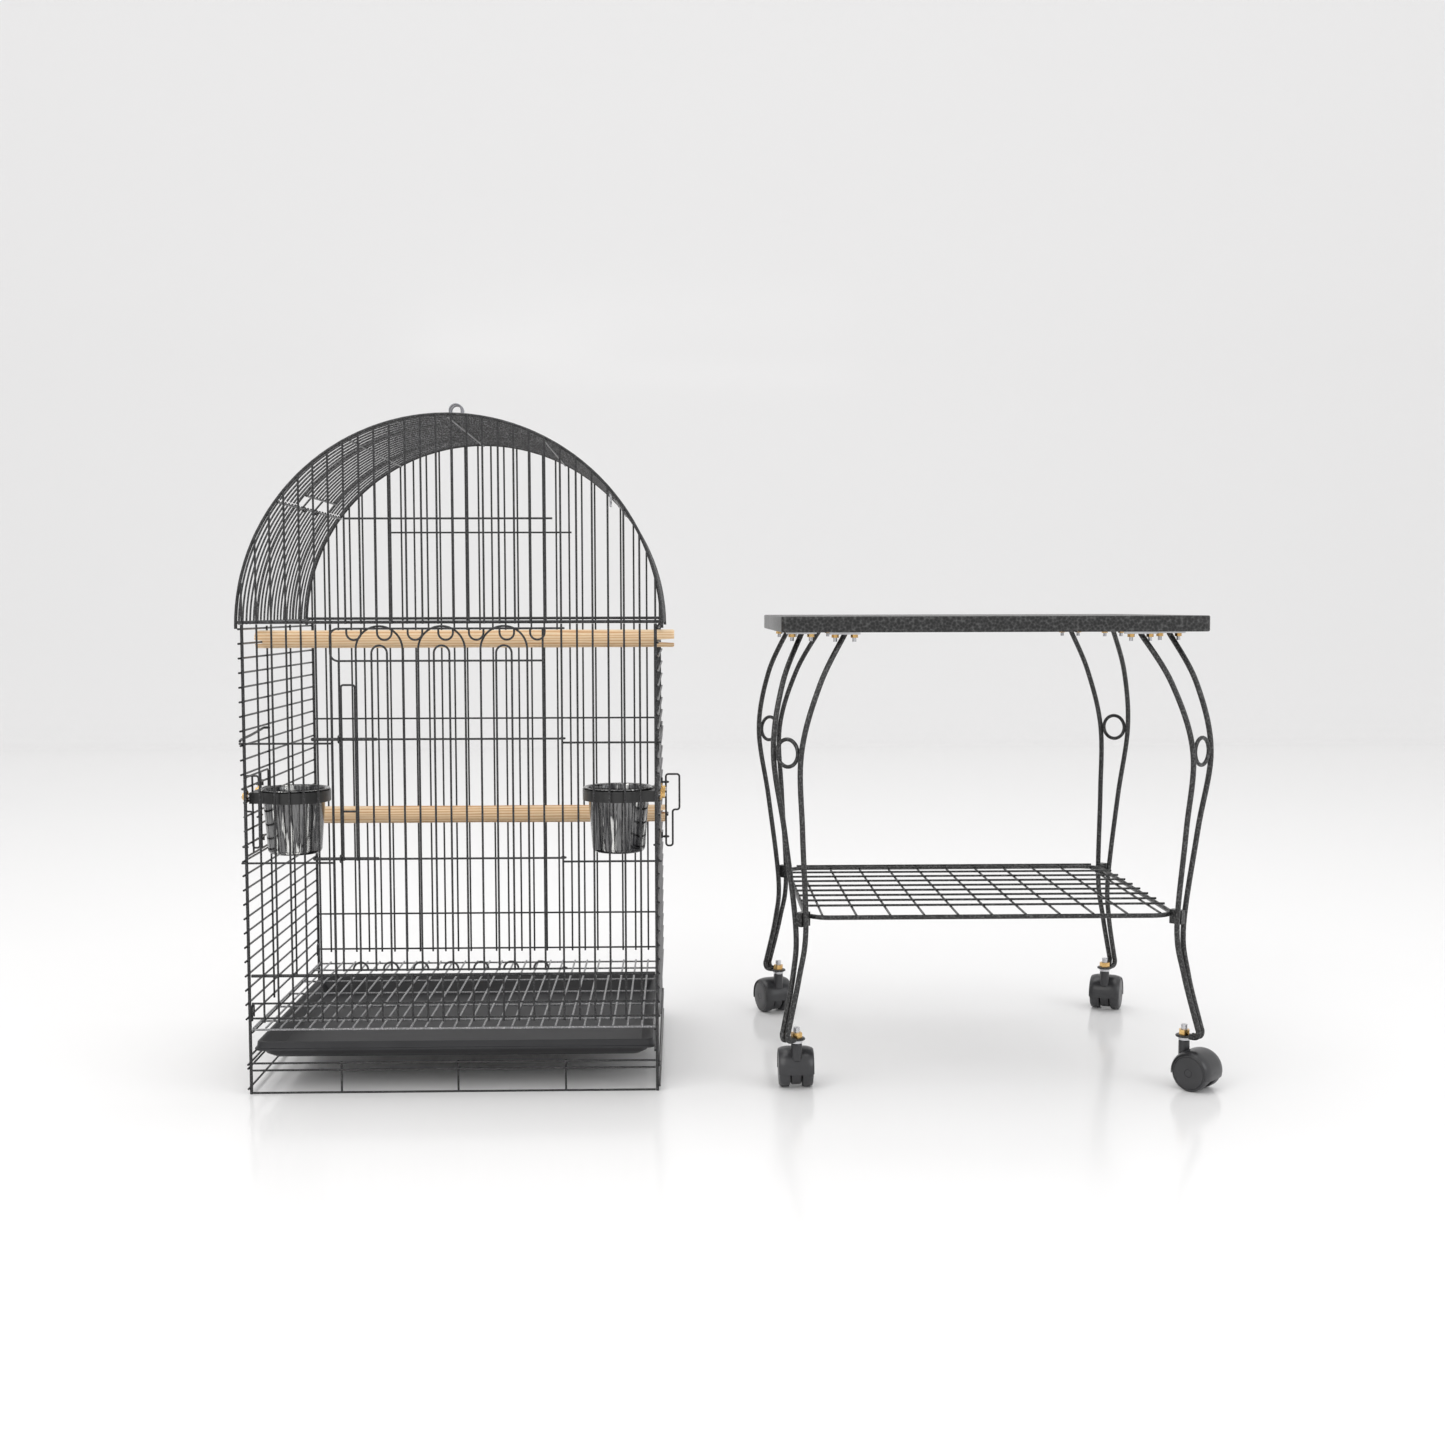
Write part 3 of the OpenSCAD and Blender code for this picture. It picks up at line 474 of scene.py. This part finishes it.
def loft_rect(bm, centre, levels):
    """Adds a skin through rounded rectangles (width, depth, radius, height), capped at both ends."""
    rings = []
    for width, depth, radius, z in levels:
        outline = rounded_rect(width, depth, radius)
        rings.append([bm.verts.new(Vector((centre.x + x, centre.y + y, z))) for x, y in outline])
    for a, b in zip(rings, rings[1:]):
        for k in range(len(a)):
            bm.faces.new((a[k], a[(k + 1) % len(a)], b[(k + 1) % len(b)], b[k]))
    bm.faces.new(rings[0])
    bm.faces.new(rings[-1])


# ---- stand ----

ROD = 3.5 * MM
# Millimetres out from the stem, to the side, and up
ROD_PATH = [(-50, 36, 577.4), (-8, 31, 515), (18, 23.2, 430), (6, 15, 328), (-8, 8.4, 205), (1, 5.2, 145),
            (19, 4.3, 84), (22, 4.3, 75), (20.8, 4.3, 68.6), (16.5, 4.3, 66.2), (9.6, 4.3, 66.2)]


def corner_place(corner):
    """Matrix that puts +X away from the stand's middle at a caster stem."""
    sx, sy = CORNERS[corner]
    return Matrix.Translation(stem_at(corner)) @ Matrix.Rotation(math.atan2(sy, sx), 4, "Z")


def add_legs():
    """Each leg's two rods, bent in at the foot where they carry the caster's washer."""
    for corner in CORNERS:
        place = corner_place(corner)
        bm = bmesh.new()
        for side in (-1, 1):
            points = [place @ (Vector((r, side * s, z)) * MM) for r, s, z in ROD_PATH]
            sweep_tube(bm, spline_path(points), ROD, sides=20)
        finish_piece("legs_" + corner, bm, "stand_coat", "stand", 50, ["leg_rods_" + corner])


def add_foot_washers():
    """Dished round washers under the caster nuts."""
    bm = bmesh.new()
    for corner in CORNERS:
        place = corner_place(corner) @ Matrix.Translation((0, 0, 64 * MM))
        profile = [(4.1, 0), (9.5, 0), (10.6, 0.5), (11, 1.4), (10.7, 2.4), (9.8, 3), (4.1, 2.6), (4.1, 0)]
        lathe(bm, [(r * MM, z * MM) for r, z in profile], 48, place)
    finish_piece("foot_washers", bm, "stand_coat", "stand", 40, ["foot_plates"])


def add_board():
    """The board with softly broken edges."""
    low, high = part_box("stand_top")
    centre = (low + high) / 2
    width, depth = high.x - low.x, high.y - low.y
    edge, corner, turns = 1.6 * MM, 10 * MM, 4
    levels = [(width - 2 * edge, depth - 2 * edge, corner - MM, low.z)]
    for i in range(turns + 1):
        a = math.pi / 2 * i / turns
        cut, rise = edge * (1 - math.sin(a)), edge * (1 - math.cos(a))
        levels.append((width - 2 * cut, depth - 2 * cut, corner - cut / 2, low.z + rise))
    for i in range(turns + 1):
        a = math.pi / 2 * i / turns
        cut, drop = edge * (1 - math.cos(a)), edge * (1 - math.sin(a))
        levels.append((width - 2 * cut, depth - 2 * cut, corner - cut / 2, high.z - drop))
    bm = bmesh.new()
    loft_rect(bm, centre, levels)
    finish_piece("board", bm, "board", "stand", 40, ["stand_top"])


# ---- casters ----

CASTER_TURN = {"front_left": -90, "front_right": 135, "back_left": -68, "back_right": -113}
TRAIL = 18 * MM
AXLE_Z = 24 * MM


def caster_place(corner):
    """Matrix with the origin on the axle: +X towards the stem and +Y along the axle."""
    turn = Matrix.Rotation(math.radians(CASTER_TURN[corner]), 4, "Z")
    return Matrix.Translation(stem_at(corner)) @ turn @ Matrix.Translation((-TRAIL, 0, AXLE_Z))


def add_hood(corner):
    """The drum-shaped cover over both wheels, its centre web and the stem's socket."""
    place = caster_place(corner)
    bm = bmesh.new()
    first, last, steps = math.radians(-8), math.radians(196), 44
    # The drum's wall narrows towards its two ends; (radius, distance from the middle), for one end
    inside = [(25.2, 12), (24.9, 16), (24.5, 18.5), (23.9, 20.6), (23.2, 21.8)]
    outside = [(27.1, 10), (26.8, 14), (26.1, 17.5), (25.2, 20), (24.3, 21.8), (23.7, 22.4)]
    end = [(r * MM, y * MM) for r, y in inside + outside[::-1]]
    section = end + [(r, -y) for r, y in end[::-1]]
    rings = []
    for i in range(steps + 1):
        a = first + (last - first) * i / steps
        turned = [Vector((r * math.cos(a), y, r * math.sin(a))) for r, y in section]
        rings.append([bm.verts.new(place @ point) for point in turned])
    for a, b in zip(rings, rings[1:]):
        for k in range(len(a)):
            bm.faces.new((a[k], a[(k + 1) % len(a)], b[(k + 1) % len(b)], b[k]))
    bm.faces.new(rings[0])
    bm.faces.new(rings[-1])
    web = [(3.1, -6.8), (19, -6.8), (21, -6), (21.6, -4.6), (21.6, 4.6), (21, 6), (19, 6.8), (3.1, 6.8)]
    upright = place @ Matrix.Rotation(math.radians(90), 4, "X")
    lathe(bm, [(r * MM, z * MM) for r, z in web], 64, upright)
    socket = [(4.2, 14), (7, 14), (7, 34), (6.7, 35.2), (5.9, 35.9), (4.2, 36)]
    lathe(bm, [(r * MM, z * MM) for r, z in socket], 40, place @ Matrix.Translation((TRAIL, 0, 0)))
    finish_piece("hood_" + corner, bm, "caster_hood", "caster_" + corner, 35, ["caster_hood_" + corner])


def add_wheels(corner):
    """Two wheels with a rounded tread, a rim groove and a shallow dished face."""
    place = caster_place(corner)
    bm = bmesh.new()
    inner_face = [(3.1, 7.6), (20.4, 7.6), (22.6, 8.0), (23.6, 9.0)]
    tread = [(24, 10.6), (24, 17.8), (23.7, 19.6), (22.9, 20.9), (21.6, 21.6)]
    rim_groove = [(20.9, 21.5), (20.5, 21.0), (20.1, 21.5)]
    outer_face = [(18.5, 22.0), (12, 22.2), (5.4, 22.2), (4.9, 21.6), (4.4, 22.0), (0, 22.2)]
    profile = inner_face + tread + rim_groove + outer_face
    for side in (90, -90):
        upright = place @ Matrix.Rotation(math.radians(side), 4, "X")
        lathe(bm, [(r * MM, z * MM) for r, z in profile], 72, upright)
    body = "wheels_" + corner
    finish_piece("wheel_pair_" + corner, bm, "caster_wheel", body, 30, ["caster_" + body])


# ---- cage fittings ----

def add_tray():
    """Moulded tray: ribbed rim, sloping inner walls and a flat floor."""
    low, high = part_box("tray")
    centre = (low + high) / 2
    w, d = high.x - low.x, high.y - low.y
    base, top = low.z, high.z
    rim = base + 12.6 * MM
    # Each step is (distance past the outline, corner radius, height)
    under = [(-34, 8, base + 1.6 * MM), (-24, 10, base), (-20, 10, base + 0.3 * MM),
             (-11.5, 11, base + 6 * MM)]
    flange = [(-8.2, 12, rim - 1.2 * MM), (-6.5, 12, rim), (-1.2, 9, rim), (0, 9, rim + 0.8 * MM),
              (0, 9, rim + 2.8 * MM), (-0.7, 9, rim + 3.3 * MM), (-1.5, 10, rim + 3.5 * MM)]
    bead = [(-1.9, 10, rim + 4.4 * MM), (-2.6, 10, top - 0.9 * MM), (-3.4, 10, top), (-6.6, 10, top)]
    inside = [(-7.6, 9, top - 0.9 * MM), (-14, 9, base + 12 * MM), (-20, 9, base + 3.4 * MM),
              (-25, 9, base + 2.5 * MM), (-34, 8, base + 2.4 * MM)]
    levels = []
    for past, radius, z in under + flange + bead + inside:
        levels.append((w + 2 * past * MM, d + 2 * past * MM, radius * MM, z))
    bm = bmesh.new()
    loft_rect(bm, centre, levels)
    finish_piece("tray_shell", bm, "tray_plastic", "tray", 30, ["tray"])


# Each notch ends this far to the side of the cage's middle, at the height of its wall wire
NOTCH_X = 256.6 * MM
PERCH_SLOTS = {"perch_upper": 567.6 * MM, "perch_lower": 332.3 * MM}


def add_perch(node, slot_z):
    """A pine dowel whose ends are notched to slip over a wall wire."""
    low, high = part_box(node)
    mid = (low + high) / 2
    radius = (high.z - low.z) / 2
    half = (high.x - low.x) / 2
    bm = bmesh.new()
    sides = 64
    stations = [(-half, 0.90), (-half + 0.8 * MM, 0.97), (-half + 2.2 * MM, 1.0)]
    span = half - 4 * MM
    stations += [(-span + 2 * span * i / 60, 1.0) for i in range(61)]
    stations += [(half - 2.2 * MM, 1.0), (half - 0.8 * MM, 0.97), (half, 0.90)]
    rings = []
    for x, k in stations:
        wobble = 0.10 * MM * math.sin(x * 31 + 1.3) + 0.06 * MM * math.sin(x * 83)
        ring = []
        for s in range(sides):
            a = 2 * math.pi * s / sides
            r = radius * k - 0.16 * MM + wobble * math.cos(2 * a)
            ring.append(bm.verts.new(mid + Vector((x, r * math.cos(a), r * math.sin(a)))))
        rings.append(ring)
    for a, b in zip(rings, rings[1:]):
        for s in range(sides):
            bm.faces.new((a[s], a[(s + 1) % sides], b[(s + 1) % sides], b[s]))
    bm.faces.new(rings[0])
    bm.faces.new(rings[-1])
    dowel = finish_piece(node + "_dowel", bm, "pine", "cage", 40, [node])
    cutter = bmesh.new()
    mouth, root = 3.0 * MM, 1.7 * MM
    for side in (-1, 1):
        end, deep = mid.x + side * (half + 2 * MM), CAGE_X + side * NOTCH_X
        outline = [(end, -mouth), (end, mouth), (deep, root), (deep, -root)]
        rows = [[cutter.verts.new(Vector((x, y, slot_z + z))) for x, z in outline]
                for y in (mid.y - 2 * radius, mid.y + 2 * radius)]
        for k in range(4):
            cutter.faces.new((rows[0][k], rows[0][(k + 1) % 4], rows[1][(k + 1) % 4], rows[1][k]))
        cutter.faces.new(rows[0])
        cutter.faces.new(rows[1])
    bmesh.ops.recalc_face_normals(cutter, faces=cutter.faces)
    data = bpy.data.meshes.new("notch")
    cutter.to_mesh(data)
    cutter.free()
    tool = bpy.data.objects.new("notch", data)
    scene.collection.objects.link(tool)
    cut = dowel.modifiers.new("notch", "BOOLEAN")
    cut.operation = "DIFFERENCE"
    cut.solver = "EXACT"
    cut.object = tool
    bpy.context.view_layer.update()
    shape = bpy.data.meshes.new_from_object(dowel.evaluated_get(bpy.context.evaluated_depsgraph_get()))
    dowel.modifiers.clear()
    dowel.data = shape
    bpy.data.objects.remove(tool)


def add_cup(side):
    """A spun steel cup with a rolled rim and a small radius at its foot."""
    node = "cup_" + side
    low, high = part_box(node)
    centre = (low + high) / 2
    bm = bmesh.new()
    base, top = low.z / MM, high.z / MM
    profile = [(0, base + 0.6), (25, base + 0.6), (27.5, base)]
    for i in range(8):
        a = math.radians(90 * i / 7)
        profile.append((28 + 6 * math.sin(a), base + 6 - 6 * math.cos(a)))
    profile += [(36.6, base + 42), (39.3, base + 76), (39.9, top - 2.6)]
    profile += [(43.6, top - 2.3), (44.7, top - 1.7), (44.95, top - 1.1), (44.6, top - 0.4), (43.8, top),
                (42.6, top - 0.1), (40.6, top - 0.5), (39.4, top - 1.2)]
    profile += [(38.9, top - 2.6), (38.4, base + 76), (35.7, base + 42)]
    for i in range(8):
        a = math.radians(90 - 90 * i / 7)
        profile.append((27.4 + 5.7 * math.sin(a), base + 7 - 6 * math.cos(a)))
    profile += [(25, base + 1.6), (0, base + 1.6)]
    place = Matrix.Translation((centre.x, centre.y, 0))
    lathe(bm, [(r * MM, z * MM) for r, z in profile], 96, place)
    finish_piece(node + "_shell", bm, "cup_steel", node, 50, [node])


def add_cage_wires():
    """Lock wires and corner hoops on the side walls, and stubs of the front's cross wires."""
    bm = bmesh.new()
    for side in (-1, 1):
        along = [(258.6, -9, 447), (261.4, 10, 448), (262.2, 60, 450), (262.4, 112, 453.5)]
        hook = [(262.0, 124, 454.5), (258.4, 128, 454.5), (255.4, 128, 454.2)]
        path = [in_cage(side * x, y, z) for x, y, z in along + hook]
        sweep_tube(bm, spline_path(path, 6), 1.7 * MM)
        for y, turn in ((6, 1), (396, -1)):
            hoop = [(0, 92), (0, 112), (9 * turn, 112), (9 * turn, 96)]
            path = [in_cage(side * 254.6, y + shift, z) for shift, z in hoop]
            sweep_tube(bm, rounded_path(path, 3.5 * MM), 1.1 * MM)
    for z in (293, 443):
        for side in (-1, 1):
            sweep_tube(bm, [in_cage(side * 249, 2.2, z), in_cage(side * 262.5, 1.9, z)], WIRE)
    finish_piece("cage_wire_ends", bm, "cage_coat", "cage", 50)


add_camera()
add_stage()
dress_cad()
add_legs()
add_foot_washers()
add_board()
for name in CORNERS:
    add_hood(name)
    add_wheels(name)
add_tray()
for name, slot_z in PERCH_SLOTS.items():
    add_perch(name, slot_z)
add_cup("left")
add_cup("right")
add_cage_wires()
